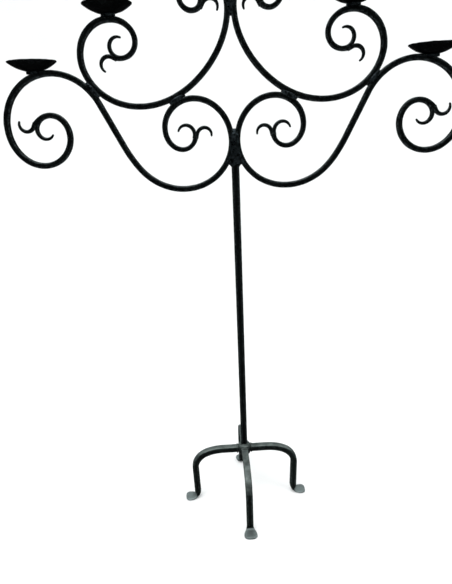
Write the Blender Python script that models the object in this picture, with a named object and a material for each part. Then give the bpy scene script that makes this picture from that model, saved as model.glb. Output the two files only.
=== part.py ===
"""Floor candelabrum in wrought iron: a stem on four bent legs carries two pairs of forged
scrolls, one above the other, and five dished candle pans. +Z is up, +X is to the right as
one faces it, and the origin is on the floor below the stem. Everything is in metres."""

from math import ceil, cos, pi, radians, sin, sqrt

import bmesh
import bpy
import numpy as np
from mathutils import Matrix

# Stock and clearances
GAP = 0.0003  # left between pieces that touch
BAR = 0.014  # square bar of the scrolls
STEM = 0.0195  # square bar of the stem
LEG = 0.020  # square bar of the legs
EDGE = 0.0025  # softened corner of every bar
RING_TURN = 15  # degrees of bend between two sections of a bar
CURL_RING_TURN = 30  # the same in the small curls

# Heights and reaches
SCROLL_HEIGHT = 1.076  # floor to where the two lower scrolls touch
HUB_HEIGHT = 0.178  # floor to the centreline of the legs where they meet
LEG_REACH = 0.154  # stem axis to the widest place of each leg
BASE_TURN = 2.5  # degrees that the four legs are turned from facing square on
PAN_REACH = 0.456  # stem axis to the centre of an outer pan
FIRST_RISE = 0.28  # first guess of how much higher the upper scrolls meet
POST_RISE = 0.136  # upper scrolls' meeting point to the top of the centre post

# A bar's bends, in order along it: turn in degrees (+ to the left of the way it runs),
# then the radius where the bend starts and where it ends. A turn of 0 is a straight run,
# and its second number is the length. These are the scrolls on the right-hand side.
LOWER_OUTWARD = (  # from the middle down, up the diagonal and round the outer spiral
    (90, 0.097, 0.133),
    (45, 0.133, 0.139),
    (19, 0.139, 0.420),
    (0, 0.103, 0),
    (-52, 0.130, 0.115),
    (-82, 0.115, 0.120),
    (-80, 0.120, 0.071),
    (-90, 0.071, 0.070),
    (-90, 0.070, 0.038),
    (-92, 0.038, 0.046),
)
LOWER_INWARD = (  # from the middle up and round the inner spiral
    (-90, 0.110, 0.077),
    (-90, 0.077, 0.059),
    (-90, 0.059, 0.032),
    (-76, 0.032, 0.031),
    (0, 0.0085, 0),
)
UPPER_BOWL = (  # from the middle down and out to the lowest point, then up the far side
    (43, 0.129, 0.259),
    (47, 0.259, 0.170),
    (90, 0.170, 0.079),
)
UPPER_SPIRAL = (
    (90, 0.079, 0.070),
    (90, 0.070, 0.033),
    (117, 0.033, 0.038),
)
UPPER_INWARD = (  # from the middle up and round the small spiral beside the centre post
    (-90, 0.078, 0.052),
    (-90, 0.052, 0.036),
    (-90, 0.036, 0.024),
    (-60, 0.024, 0.024),
)

# Where a scroll ends, its bar is thinned, flared again and split into two curls
THINNED = (0.011, 0.0128)  # bar width at the thin place; second, at the lower outer ends
FLARED = (0.0148, 0.0172)  # bar width where it splits, at the same ends
THINNING_RUN = 0.150  # length over which it is thinned
FLARING_RUN = 0.026  # length over which it flares again
CURL_ROOT = 0.0084  # width and thickness of a curl where it leaves the bar and at its tip
CURL_TIP = 0.0046
CURL_ONWARD = (185, 0.0235, 0.0168)  # bend of the curl that goes on turning with its spiral
CURL_BACK = (185, 0.0195, 0.0148)  # bend of the curl that turns the other way
CURL_DEPTHS = (0.0118, 0.0108)  # front to back at their roots; unequal, so no faces coincide
CURL_SINK = 0.0076  # how far inside the bar's end a curl starts
CURL_STRAIGHTS = (0.0025, 0.0101)  # straight run before the bend, onward curl and back curl

# Legs and feet
LEG_SHOULDER = ((-25, 0.150, 0.105), (-66, 0.060, 0.052))  # bends from the arm downwards
FOOT_HEEL = 0.012  # radius of the bend into the foot
FOOT_LENGTH = 0.027  # foot beyond that bend
TOE_LENGTH = 0.006  # the last of it, where it narrows
FOOT_WIDTH = 0.038
HEEL_WIDTH = 0.0304  # where the foot leaves its bend
TOE_WIDTH = 0.0228
FOOT_THICKNESS = 0.007

# Hub and welds
HUB_WIDTH = 0.044
HUB_DEPTH = 0.040  # top to bottom
HUB_SIDES = 16
LEG_CLEARANCE = 0.0005  # inner end of each leg to the stem and to the legs beside it
STEM_INSET = 0.004  # hub centre to the stem's lower end
WELD_PROUD = 0.0022  # how far a weld stands out in front of the bars
SIDE_WELD = (0.042, 1.15)  # lower to upper scrolls: length, and width as a share of BAR
CENTRE_WELD = (0.097, 1.9)  # the same, for the weld between the stem and the lower scrolls
TOP_WELD = (0.070, 1.7)  # the same, for the weld between the centre post and the upper ones
CENTRE_FLARE = 0.5  # share by which the centre weld widens downwards
TOP_FLARE = -0.25  # the top weld widens upwards
WELD_REACH = 0.26  # share of a weld's length from its middle to the bar it holds
WELD_SIDES = 14
LUMP_RINGS = 9  # rings of points in a weld and in the hub

# Pans
PAN_RADIUS = 0.055
PAN_DEPTH = 0.019
PAN_WALL = 0.0022
PAN_SIDES = 24
DISH_RINGS = 4  # between the flat middle of a pan and its rim
RIM_INSET = 0.001  # how much smaller the dish is inside its rim than outside
SCREW_SEAT = (0.0086, 0.0004)  # dimple round the screw's head: radius and depth
SADDLE_RADIUS = 0.016  # the boss under each pan
SADDLE_RISE = 0.003  # its height above the bar
SADDLE_GRIP = 0.003  # how far it comes down beside the bar
SADDLE_SIDES = 20
SCREW_RADIUS = 0.003
SCREW_HEAD = (0.0075, 0.004)  # radius and height
SCREW_DOME = ((1, 0), (0.95, 0.4), (0.7, 0.8), (0.3, 1))  # shares of those up its side
SCREW_SIDES = 12
SCREW_REACH = 0.009  # how far it goes into the bar

FINISHES = {  # colour (linear), roughness, metallic
    "bar": ((0.012, 0.014, 0.015), 0.45, 0.6),
    "leg": ((0.030, 0.035, 0.034), 0.60, 0.5),
    "pan": ((0.010, 0.011, 0.011), 0.50, 0.6),
    "weld": ((0.014, 0.018, 0.019), 0.40, 0.6),
}


def bent(start, heading, bends, ring_turn=RING_TURN):
    """Centreline of a bar bent in one plane: places (n, 2), headings (n) and the length run
    so far (n). The radius of a bend changes evenly, by the same ratio for each degree."""
    places, headings, runs = [np.array(start, float)], [radians(heading)], [0.0]
    for turn, first, last in bends:
        steps = max(1, ceil(abs(turn) / ring_turn))
        for step in range(steps):
            half = radians(turn) / steps / 2
            if turn == 0:
                chord = run = first
            else:
                radius = first * (last / first) ** ((step + 0.5) / steps)
                chord, run = 2 * radius * sin(abs(half)), 2 * radius * abs(half)
            middle = headings[-1] + half
            places.append(places[-1] + chord * np.array([cos(middle), sin(middle)]))
            headings.append(middle + half)
            runs.append(runs[-1] + run)
    return np.array(places), np.array(headings), np.array(runs)


def joined(back, forth):
    """One centreline from two that start at the same place in opposite directions."""
    places = np.concatenate([back[0][:0:-1], forth[0]])
    headings = np.concatenate([back[1][:0:-1] + pi, forth[1]])
    runs = np.concatenate([-back[2][:0:-1], forth[2]])
    return places, headings, runs - runs[0]


def end_widths(runs, outer):
    """Bar width along a scroll: thinned towards each end, then flared at the very end. outer
    is 1 if the far end is an outer one, which stays heavier, and 0 otherwise."""
    along = [0, FLARING_RUN, THINNING_RUN]
    near_end = np.interp(runs, along, [FLARED[0], THINNED[0], BAR])
    far_end = np.interp(runs[-1] - runs, along, [FLARED[outer], THINNED[outer], BAR])
    return np.where(runs < runs[-1] / 2, near_end, far_end)


def section(width, depth, extra):
    """Eight corners of a bar's section, softened by EDGE and grown outwards by extra."""
    a, b = width / 2 + extra, depth / 2 + extra
    c = min(EDGE, width / 4, depth / 4) + extra * (2 - sqrt(2))
    right = [(a, c - b), (a, b - c), (a - c, b)]
    left = [(c - a, b), (-a, b - c), (-a, c - b)]
    return np.array(right + left + [(c - a, -b), (a - c, -b)])


def mesh_object(name, points, faces, finish=None):
    """An object of these points and faces. Without a finish it is a hidden cutter."""
    mesh = bpy.data.meshes.new(name)
    mesh.from_pydata([tuple(point) for point in points], [], faces)
    work = bmesh.new()
    work.from_mesh(mesh)
    bmesh.ops.recalc_face_normals(work, faces=work.faces)
    work.to_mesh(mesh)
    work.free()
    made = bpy.data.objects.new(name, mesh)
    bpy.context.collection.objects.link(made)
    if finish is None:
        made.hide_render = True
        made.display_type = "WIRE"
    else:
        paint(made, finish)
    return made


def paint(made, finish):
    colour, roughness, metallic = FINISHES[finish]
    material = bpy.data.materials.new(made.name)
    material.use_nodes = True
    shader = material.node_tree.nodes["Principled BSDF"]
    shader.inputs["Base Color"].default_value = (*colour, 1)
    shader.inputs["Roughness"].default_value = roughness
    shader.inputs["Metallic"].default_value = metallic
    made.data.materials.append(material)


def grid_faces(rings, sides):
    """Quads between rings of points, each closed round, with both ends capped."""
    faces = [tuple(range(sides)), tuple(range((rings - 1) * sides, rings * sides))]
    for ring in range(rings - 1):
        for side in range(sides):
            turned = (side + 1) % sides
            low, high = ring * sides, (ring + 1) * sides
            faces.append((low + side, low + turned, high + turned, high + side))
    return faces


def bar(name, line, widths, depths, side=1, finish=None, extra=0.0):
    """A bar of chamfered section along a centreline in the X-Z plane; side -1 mirrors it."""
    points = []
    for (x, z), heading, width, depth in zip(line[0], line[1], widths, depths):
        for across, y in section(width, depth, extra):
            points.append((side * (x - across * sin(heading)), y, z + across * cos(heading)))
    return mesh_object(name, points, grid_faces(len(line[0]), 8), finish)


def turned(name, profile, place, sides, finish=None, bored=False):
    """A solid turned about a vertical axis through place, from (radius, height) pairs. Its
    two ends are capped or, where it is bored, its last pair joins its first one."""
    points, faces = [], []
    for radius, height in profile:
        for k in range(sides):
            angle = 2 * pi * k / sides
            points.append((radius * cos(angle), radius * sin(angle), height))
    points = np.array(points) + np.array(place)
    if not bored:
        return mesh_object(name, points, grid_faces(len(profile), sides), finish)
    for ring in range(len(profile)):
        low, high = ring * sides, (ring + 1) % len(profile) * sides
        for k in range(sides):
            turned_on = (k + 1) % sides
            faces.append((low + k, low + turned_on, high + turned_on, high + k))
    return mesh_object(name, points, faces, finish)


def combine(target, other, operation):
    modifier = target.modifiers.new(f"{operation.lower()} {other.name}", "BOOLEAN")
    modifier.operation = operation
    modifier.solver = "EXACT"
    modifier.object = other


def add_curls(target, line, widths, side, spiral_turn):
    """Splits the far end of a scroll into two curls. spiral_turn is the sign of its bend."""
    (x, z), heading = line[0][-1], line[1][-1]
    for kind, sign, (turn, first, last), root_depth, straight_run in (
        ("onward", spiral_turn, CURL_ONWARD, CURL_DEPTHS[0], CURL_STRAIGHTS[0]),
        ("back", -spiral_turn, CURL_BACK, CURL_DEPTHS[1], CURL_STRAIGHTS[1]),
    ):
        aside = sign * (widths[-1] - CURL_ROOT - EDGE / 2) / 2
        root = (
            x - CURL_SINK * cos(heading) - aside * sin(heading),
            z - CURL_SINK * sin(heading) + aside * cos(heading),
        )
        bends = ((0, straight_run, 0), (sign * turn, first, last))
        curl = bent(root, heading * 180 / pi, bends, CURL_RING_TURN)
        size = np.interp(curl[2], [straight_run, curl[2][-1]], [CURL_ROOT, CURL_TIP])
        deep = np.interp(curl[2], [straight_run, curl[2][-1]], [root_depth, CURL_TIP])
        name = f"{target.name}_{kind}_{len(target.modifiers)}"
        combine(target, bar(name, curl, size, deep, side), "UNION")


def reverse(line):
    return line[0][::-1], line[1][::-1] + pi, line[2][-1] - line[2][::-1]


def nearest(line, other):
    """Least distance between two fine centrelines, and the place halfway across it with the
    first one's heading there."""
    apart = np.linalg.norm(line[0][:, None] - other[0][None], axis=2)
    i, j = np.unravel_index(apart.argmin(), apart.shape)
    return apart[i, j], (line[0][i] + other[0][j]) / 2, line[1][i]


def upper_bends(scale):
    bowl = tuple((turn, first * scale, last * scale) for turn, first, last in UPPER_BOWL)
    return bowl + UPPER_SPIRAL


def seat_upper(lower_inward, lower_outward):
    """Height of the upper scrolls' meeting point, and the size of their bowl, that rest
    each upper scroll on both spirals of the lower one. Found by Newton's method."""
    wanted = BAR + GAP
    contact_x = wanted / 2

    def misfit(height, scale):
        line = bent((contact_x, height), -90, upper_bends(scale), 1)
        spiral = nearest(line, lower_inward)
        diagonal = nearest(line, lower_outward)
        return np.array([spiral[0] - wanted, diagonal[0] - wanted])

    guess = np.array([SCROLL_HEIGHT + FIRST_RISE, 1.0])
    nudge = 1e-4
    for _ in range(12):
        here = misfit(*guess)
        slopes = [(misfit(*(guess + step)) - here) / nudge for step in nudge * np.eye(2)]
        guess = guess - np.linalg.solve(np.array(slopes).T, here)
    return guess


def lump(name, centre, angle, length, width, flare=0.0, thickest=BAR):
    """A rounded weld, standing WELD_PROUD out of the faces of the thickest bar in it. Its
    width is a share of BAR, and flare widens its lower end. The caller cuts its bars out."""
    depth = thickest + 2 * WELD_PROUD
    points = []
    for ring in range(LUMP_RINGS):
        polar = pi * (ring + 0.5) / LUMP_RINGS
        for k in range(WELD_SIDES):
            turn = 2 * pi * k / WELD_SIDES
            grow = 1 - flare * cos(polar)
            points.append(
                (
                    width * BAR / 2 * grow * sin(polar) * cos(turn),
                    depth / 2 * sqrt(sin(polar)) * sin(turn),
                    length / 2 * cos(polar),
                )
            )
    made = mesh_object(name, points, grid_faces(LUMP_RINGS, WELD_SIDES), "weld")
    made.data.transform(Matrix.Rotation(pi / 2 - angle, 4, "Y"))
    made.data.transform(Matrix.Translation((centre[0], 0, centre[1])))
    return made


def top_of(line, reach):
    """Height of the upper face of a bar at this distance from the stem's axis, taken on the
    highest run of the bar there."""
    x, z = line[0][:, 0], line[0][:, 1]
    near = np.abs(x - reach) < BAR / 4
    i = np.flatnonzero(near)[z[near].argmax()]
    slope = np.tan(line[1][i])
    height = z[i] + slope * (reach - x[i])
    return height + BAR / 2 * sqrt(1 + slope * slope)


def hole(name, x, low, high):
    """A cutter for the screw's hole, from low to high."""
    radius = SCREW_RADIUS + GAP
    return turned(name, [(radius, low), (radius, high)], (x, 0, 0), SCREW_SIDES)


def add_pan(where, x, support_top, holder, fat_holders):
    """A candle pan at x on top of a bar or post: saddle, dish and screw. holder is the
    piece it is screwed to, and fat_holders are cut out of the saddle."""
    seat = support_top + SADDLE_RISE
    dish_floor = seat + GAP
    saddle_profile = [(SADDLE_RADIUS, support_top - SADDLE_GRIP), (SADDLE_RADIUS, seat)]
    saddle = turned(f"pan_saddle_{where}", saddle_profile, (x, 0, 0), SADDLE_SIDES, "weld")
    for fat in fat_holders:
        combine(saddle, fat, "DIFFERENCE")

    ball = (PAN_RADIUS**2 + PAN_DEPTH**2) / (2 * PAN_DEPTH)  # the dish is part of a ball
    flat = SADDLE_RADIUS  # the middle of the dish is flattened on its saddle
    bore = SCREW_RADIUS + GAP
    radii = np.linspace(flat, PAN_RADIUS, DISH_RINGS + 1)
    sink = ball - sqrt(ball**2 - flat**2)
    rise = [(ball - sqrt(ball**2 - radius**2) - sink) for radius in radii]
    scale = PAN_DEPTH / rise[-1]
    under = [(radius, height * scale) for radius, height in zip(radii, rise)]
    inner = [(radius - RIM_INSET, height + PAN_WALL) for radius, height in under]
    seat_radius, seat_depth = SCREW_SEAT
    head_floor = PAN_WALL - seat_depth
    dimple = [(seat_radius + seat_depth, PAN_WALL), (seat_radius, head_floor)]
    profile = [(bore, 0), *under, *inner[::-1], *dimple, (bore, head_floor)]
    dish = turned(f"pan_{where}", profile, (x, 0, dish_floor), PAN_SIDES, "pan", True)
    for polygon in dish.data.polygons:
        polygon.use_smooth = True

    low = support_top - SCREW_REACH
    under_head = dish_floor + head_floor + GAP
    head_radius, head_height = SCREW_HEAD
    dome = [(head_radius * out, under_head + head_height * up) for out, up in SCREW_DOME]
    screw_profile = [(SCREW_RADIUS, low), (SCREW_RADIUS, under_head), *dome]
    turned(f"pan_screw_{where}", screw_profile, (x, 0, 0), SCREW_SIDES, "pan")
    drill = hole(f"drill_{where}", x, low - GAP, seat + head_height)
    combine(saddle, drill, "DIFFERENCE")
    combine(holder, drill, "DIFFERENCE")


def leg_line():
    """Centreline of one leg from its inner end out, down and into the foot."""
    shoulder = bent((0, 0), 0, LEG_SHOULDER)
    (across, fall), lean = shoulder[0][-1], -shoulder[1][-1]
    inner_end = max(STEM, LEG) / 2 + LEG_CLEARANCE
    arm = LEG_REACH - inner_end - across
    foot_rise = FOOT_THICKNESS / 2 + FOOT_HEEL * (1 - cos(lean))
    bends = (
        (0, arm, 0),
        *LEG_SHOULDER,
        (0, (HUB_HEIGHT + fall - foot_rise) / sin(lean), 0),
        (lean * 180 / pi, FOOT_HEEL, FOOT_HEEL),
        (0, (FOOT_LENGTH - TOE_LENGTH) / 2, 0),
        (0, (FOOT_LENGTH - TOE_LENGTH) / 2, 0),
        (0, TOE_LENGTH, 0),
    )
    return bent((inner_end, HUB_HEIGHT), 0, bends)


def add_legs():
    """Four legs of one shape about the stem's axis, each spread into a flat foot. Gives back
    a copy of each that is larger all round by the gap."""
    line = leg_line()
    end = line[2][-1]
    heel = end - FOOT_LENGTH - FOOT_HEEL * pi / 2
    at = [heel - LEG / 2, heel + FOOT_HEEL * 3 / 4, end - TOE_LENGTH, end]
    thick = np.interp(line[2], at, [LEG] + [FOOT_THICKNESS] * 3)
    wide = np.interp(line[2], at, [LEG, HEEL_WIDTH, FOOT_WIDTH, TOE_WIDTH])
    fats = []
    for quarter, name in enumerate(("leg_right", "leg_back", "leg_left", "leg_front")):
        leg = bar(name, line, thick, wide, 1, "leg")
        fats.append(bar(f"fat_{name}", line, thick, wide, 1, None, GAP))
        for made in (leg, fats[-1]):
            made.rotation_euler.z = quarter * pi / 2 + radians(BASE_TURN)
    return fats


def add_hub(fat_legs, fat_stem):
    """The rounded weld that holds the four legs and the stem together."""
    points = []
    for ring in range(LUMP_RINGS):
        polar = pi * (ring + 0.5) / LUMP_RINGS
        across = HUB_WIDTH / 2 * sqrt(sin(polar))
        for k in range(HUB_SIDES):
            turn = 2 * pi * (k + 0.5) / HUB_SIDES
            height = HUB_HEIGHT - HUB_DEPTH / 2 * cos(polar)
            points.append((across * cos(turn), across * sin(turn), height))
    hub = mesh_object("hub", points, grid_faces(LUMP_RINGS, HUB_SIDES), "leg")
    for fat in (*fat_legs, fat_stem):
        combine(hub, fat, "DIFFERENCE")


def straight(low, high):
    """A vertical centreline on the stem's axis."""
    return np.array([(0, low), (0, high)]), np.array([pi / 2, pi / 2]), np.array([0, high - low])


def inner_face_height(line, half_width, way):
    """Height where a scroll's inner face first clears something this wide on the stem's
    axis. way is 1 above the place where the scrolls meet, and -1 below it."""
    face_x = line[0][:, 0] - way * BAR / 2 * np.sin(line[1])
    face_z = line[0][:, 1] + way * BAR / 2 * np.cos(line[1])
    return face_z[np.flatnonzero(face_x > half_width + GAP)[0]]


def main():
    for old in list(bpy.data.objects):
        bpy.data.objects.remove(old)

    contact_x = (BAR + GAP) / 2
    start = (contact_x, SCROLL_HEIGHT)
    fine_inward = bent(start, 90, LOWER_INWARD, 1)
    fine_outward = bent(start, -90, LOWER_OUTWARD, 1)
    upper_height, bowl_scale = seat_upper(fine_inward, fine_outward)
    upper_start = (contact_x, upper_height)
    fine_upper = bent(upper_start, -90, upper_bends(bowl_scale), 1)
    fine_top = bent(upper_start, 90, UPPER_INWARD, 1)

    lower = joined(bent(start, 90, LOWER_INWARD), bent(start, -90, LOWER_OUTWARD))
    upper = joined(
        bent(upper_start, 90, UPPER_INWARD), bent(upper_start, -90, upper_bends(bowl_scale))
    )
    scrolls, fats = {}, {}
    for side, where in ((1, "right"), (-1, "left")):
        for level, line, last_turn in (("lower", lower, -1), ("upper", upper, 1)):
            widths = end_widths(line[2], 1 if level == "lower" else 0)
            depths = np.minimum(widths, BAR)
            scroll = bar(f"{level}_scroll_{where}", line, widths, depths, side, "bar")
            add_curls(scroll, line, widths, side, last_turn)
            add_curls(scroll, reverse(line), widths[::-1], side, -1)
            fats[level, side] = bar(
                f"fat_{level}_{where}", line, widths, depths, side, None, GAP
            )
            scrolls[level, side] = scroll

    stem_top = inner_face_height(fine_outward, STEM / 2, -1)
    stem_low = HUB_HEIGHT + STEM_INSET
    stem_line = straight(stem_low, stem_top)
    bar("stem", stem_line, [STEM] * 2, [STEM] * 2, 1, "bar")
    fat_stem_line = straight(stem_low - GAP, stem_top + GAP)
    fat_stem = bar("fat_stem", fat_stem_line, [STEM] * 2, [STEM] * 2, 1, None, GAP)
    post_low = inner_face_height(fine_top, BAR / 2, 1)
    post_top = upper_height + POST_RISE
    post = bar("centre_post", straight(post_low, post_top), [BAR] * 2, [BAR] * 2, 1, "bar")
    fat_post_line = straight(post_low - GAP, post_top + GAP)
    fat_post = bar("fat_post", fat_post_line, [BAR] * 2, [BAR] * 2, 1, None, GAP)

    add_hub(add_legs(), fat_stem)

    _, at_spiral, spiral_heading = nearest(fine_upper, fine_inward)
    _, at_diagonal, diagonal_heading = nearest(fine_upper, fine_outward)
    for side, where in ((1, "right"), (-1, "left")):
        for kind, place, heading in (
            ("inner", at_spiral, spiral_heading),
            ("outer", at_diagonal, diagonal_heading),
        ):
            angle = heading if side > 0 else pi - heading
            weld = lump(f"weld_{kind}_{where}", (side * place[0], place[1]), angle, *SIDE_WELD)
            combine(weld, fats["lower", side], "DIFFERENCE")
            combine(weld, fats["upper", side], "DIFFERENCE")
    centre = (0, stem_top + CENTRE_WELD[0] * WELD_REACH)
    centre_weld = lump("weld_centre", centre, pi / 2, *CENTRE_WELD, CENTRE_FLARE, STEM)
    top = (0, post_low - TOP_WELD[0] * WELD_REACH)
    top_weld = lump("weld_top", top, pi / 2, *TOP_WELD, TOP_FLARE)
    for weld, level, fat in ((centre_weld, "lower", fat_stem), (top_weld, "upper", fat_post)):
        for side in (1, -1):
            combine(weld, fats[level, side], "DIFFERENCE")
        combine(weld, fat, "DIFFERENCE")

    beyond_bowl = fine_upper[0][fine_upper[2] > fine_upper[2][-1] / 3]
    upper_pan_x = beyond_bowl[beyond_bowl[:, 1].argmax(), 0]
    for side, where in ((1, "right"), (-1, "left")):
        outer_top = top_of(fine_outward, PAN_REACH)
        upper_top = top_of(fine_upper, upper_pan_x)
        for level, kind, x, top in (
            ("lower", "outer", PAN_REACH, outer_top),
            ("upper", "upper", upper_pan_x, upper_top),
        ):
            holder, fat = scrolls[level, side], fats[level, side]
            add_pan(f"{kind}_{where}", side * x, top, holder, [fat])
    add_pan("centre", 0, post_top, post, [fat_post])


main()
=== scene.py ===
from math import ceil, cos, pi, radians, sin, sqrt

import bpy
import numpy as np
from mathutils import Matrix, Vector


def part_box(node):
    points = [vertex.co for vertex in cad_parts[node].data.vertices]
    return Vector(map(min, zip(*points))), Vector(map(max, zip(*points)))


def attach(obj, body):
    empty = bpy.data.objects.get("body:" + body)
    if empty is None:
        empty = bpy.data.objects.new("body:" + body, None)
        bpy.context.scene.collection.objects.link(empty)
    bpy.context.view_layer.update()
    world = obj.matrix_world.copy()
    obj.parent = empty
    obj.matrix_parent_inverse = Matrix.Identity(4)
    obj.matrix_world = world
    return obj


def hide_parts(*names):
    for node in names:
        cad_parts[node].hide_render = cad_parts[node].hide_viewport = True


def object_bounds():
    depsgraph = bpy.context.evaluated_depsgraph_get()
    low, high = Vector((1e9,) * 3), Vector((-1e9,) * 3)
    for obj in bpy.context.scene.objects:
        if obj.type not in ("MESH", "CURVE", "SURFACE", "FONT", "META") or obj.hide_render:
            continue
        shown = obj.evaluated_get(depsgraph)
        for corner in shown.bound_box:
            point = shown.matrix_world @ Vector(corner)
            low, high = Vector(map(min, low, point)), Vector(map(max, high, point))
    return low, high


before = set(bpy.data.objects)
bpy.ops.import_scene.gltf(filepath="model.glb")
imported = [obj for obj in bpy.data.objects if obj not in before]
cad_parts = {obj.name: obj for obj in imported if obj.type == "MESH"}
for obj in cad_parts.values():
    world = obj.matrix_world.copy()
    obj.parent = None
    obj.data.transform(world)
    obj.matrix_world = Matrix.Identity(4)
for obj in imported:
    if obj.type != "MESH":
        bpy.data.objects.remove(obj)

cadLow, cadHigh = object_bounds()
print("frame loaded:", len(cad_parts), "nodes")

# All lengths are metres. A bend is (turn in degrees, radius at its start, radius at its end);
# a turn of 0 is a straight run whose length is the second number.
stock = {
    "gap": 0.0003,
    "scrollBar": 0.014,
    "stemBar": 0.0195,
    "legBar": 0.020,
    "ringSpacing": 0.0027,  # between two sections along a bar
    "sides": 48,  # points round a bar
    "squareness": 6.0,  # exponent of the section: 2 is round, large is sharp-cornered
    "hammerDepth": 0.00032,
    "hammerWaves": (0.019, 0.031, 0.053),  # lengths of the three waves of hammer marks
    "faceWave": 0.041, "faceShare": 0.8,  # the wave that differs from face to face
    "domeSteps": 7,  # sections over a rounded end
}


def bentLine(start, heading, bends, step=1.0):
    # Each bend is cut into equal small turns; the radius grows by one ratio per degree, and a
    # chord is twice the radius times the sine of half its turn. Places are the chords' sum.
    place, way, run = [np.array([start], float)], [np.array([radians(heading)])], [np.zeros(1)]
    for turn, first, last in bends:
        count = ceil(abs(turn) / step) if turn else 2
        half = radians(turn) / count / 2
        share = (np.arange(count) + 0.5) / count
        if turn:
            arc = 2 * first * (last / first) ** share * abs(half)
            chord = arc * sin(abs(half)) / abs(half)
        else:
            chord = arc = np.full(count, first / count)
        middle = way[-1][-1] + half * (2 * np.arange(count) + 1)
        steps = chord[:, None] * np.stack([np.cos(middle), np.sin(middle)], 1)
        place.append(place[-1][-1] + np.cumsum(steps, 0))
        way.append(middle + half)
        run.append(run[-1][-1] + np.cumsum(arc))
    return np.concatenate(place), np.concatenate(way), np.concatenate(run)


def joinedLine(back, forth):
    # One line from two that leave the same place in opposite directions.
    place = np.concatenate([back[0][:0:-1], forth[0]])
    way = np.concatenate([back[1][:0:-1] + pi, forth[1]])
    run = np.concatenate([-back[2][:0:-1], forth[2]])
    way = np.unwrap(way)
    return place, way, run - run[0]


def reversedLine(line):
    # The same places from the far end: headings turn by half a circle, runs count from there.
    return line[0][::-1], line[1][::-1] + pi, line[2][-1] - line[2][::-1]


def nearest(line, other):
    # Least distance between two lines, the place halfway across it, and the heading there.
    apart = np.linalg.norm(line[0][:, None] - other[0][None], axis=2)
    i, j = np.unravel_index(apart.argmin(), apart.shape)
    return apart[i, j], (line[0][i] + other[0][j]) / 2, line[1][i]


def respaced(line, spacing, dome):
    # Sections at an even spacing, drawn closer over the rounded ends by a cosine.
    total = line[2][-1]
    near = dome * (1 - np.cos(np.linspace(0, pi / 2, stock["domeSteps"])))[1:]
    between = np.linspace(dome, total - dome, max(3, ceil((total - 2 * dome) / spacing)))
    run = np.concatenate([near[:-1], between, total - near[-2::-1]])
    place = np.stack([np.interp(run, line[2], line[0][:, k]) for k in (0, 1)], 1)
    return place, np.interp(run, line[2], line[1]), run, total


def hammered(run, angle, depth, seed):
    # Hammer marks: three slow waves along the bar, each turning with the angle round it, and
    # one that differs from face to face. Their sum is brought to between 0 and 1, so that a
    # mark only ever goes inwards.
    waves = 0.0
    for order, length in enumerate(stock["hammerWaves"]):
        phase = seed * (1.7 + order) + order
        waves = waves + np.sin(2 * pi * run / length + (order + 1) * angle + phase)
    faces = np.cos(2 * pi * run / stock["faceWave"] + seed) * np.cos(4 * angle)
    faces = faces * stock["faceShare"]
    span = 2 * (len(stock["hammerWaves"]) + stock["faceShare"])
    return depth * (0.5 + (waves + faces) / span)


def gridFaces(index, closedRound=True):
    # Quads over a grid of point numbers, closed round in its second direction.
    if closedRound:
        index = np.concatenate([index, index[:, :1]], 1)
    corners = [index[:-1, :-1], index[:-1, 1:], index[1:, 1:], index[1:, :-1]]
    return np.stack(corners, -1).reshape(-1, 4)


def closedShell(rings, startPole, endPole, wear):
    # Rings of points with a pole at each end, as one closed shell that faces outwards.
    count, sides = rings.shape[:2]
    index = np.arange(count * sides).reshape(count, sides)
    points = np.concatenate([rings.reshape(-1, 3), [startPole, endPole]])
    turned = np.roll(index, -1, 1)
    first = np.stack([np.full(sides, count * sides), turned[0], index[0]], 1)
    last = np.stack([np.full(sides, count * sides + 1), index[-1], turned[-1]], 1)
    wear = np.concatenate([np.broadcast_to(wear, (count, sides)).reshape(-1), [0.5, 0.5]])
    return facedOut(points, gridFaces(index), np.concatenate([first, last]), wear)


def facedOut(points, quads, triangles, wear):
    # The volume is a sixth of the sum of corner triple products; if it is below zero, the
    # shell is inside out and its faces are turned over.
    split = np.concatenate([quads[:, :3], quads[:, [0, 2, 3]], triangles])
    a, b, c = (points[split[:, k]] for k in range(3))
    if np.einsum("ij,ij->i", a, np.cross(b, c)).sum() < 0:
        quads, triangles = quads[:, ::-1], triangles[:, ::-1]
    return points, quads, triangles, wear


def sweptBar(line, width, depth, side=1, seed=0.0, marks=1.0, dome=0.003, power=None,
             sides=None, spacing=None):
    # A section carried along a line in the X-Z plane. The section is a superellipse, read as
    # a radius over the angle; width and depth are functions of the run. side -1 mirrors it.
    place, way, run, total = respaced(line, spacing or stock["ringSpacing"], dome)
    sides = sides or stock["sides"]
    angle = 2 * pi * (np.arange(sides) + 0.5)[None] / sides
    power = power(run)[:, None] if power else stock["squareness"]
    reach = (abs(np.cos(angle)) ** power + abs(np.sin(angle)) ** power) ** (-1 / power)
    left = np.clip(np.minimum(run, total - run) / dome, 0, 1)
    rounding = np.sqrt(1 - (1 - left) ** 2)[:, None]
    halfWidth, halfDepth = width(run)[:, None] / 2, depth(run)[:, None] / 2
    mark = marks * hammered(run[:, None], angle, stock["hammerDepth"], seed)
    across = (halfWidth - mark) * reach * np.cos(angle) * rounding
    deep = (halfDepth - mark) * reach * np.sin(angle) * rounding
    x = place[:, :1] - across * np.sin(way)[:, None]
    z = place[:, 1:] + across * np.cos(way)[:, None]
    rings = np.stack([side * x, deep, z], -1)
    wear = abs(np.sin(2 * angle)) ** 4 * np.ones_like(rounding)
    ends = [(side * p[0], 0.0, p[1]) for p in (line[0][0], line[0][-1])]
    return closedShell(rings, *ends, wear)


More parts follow.
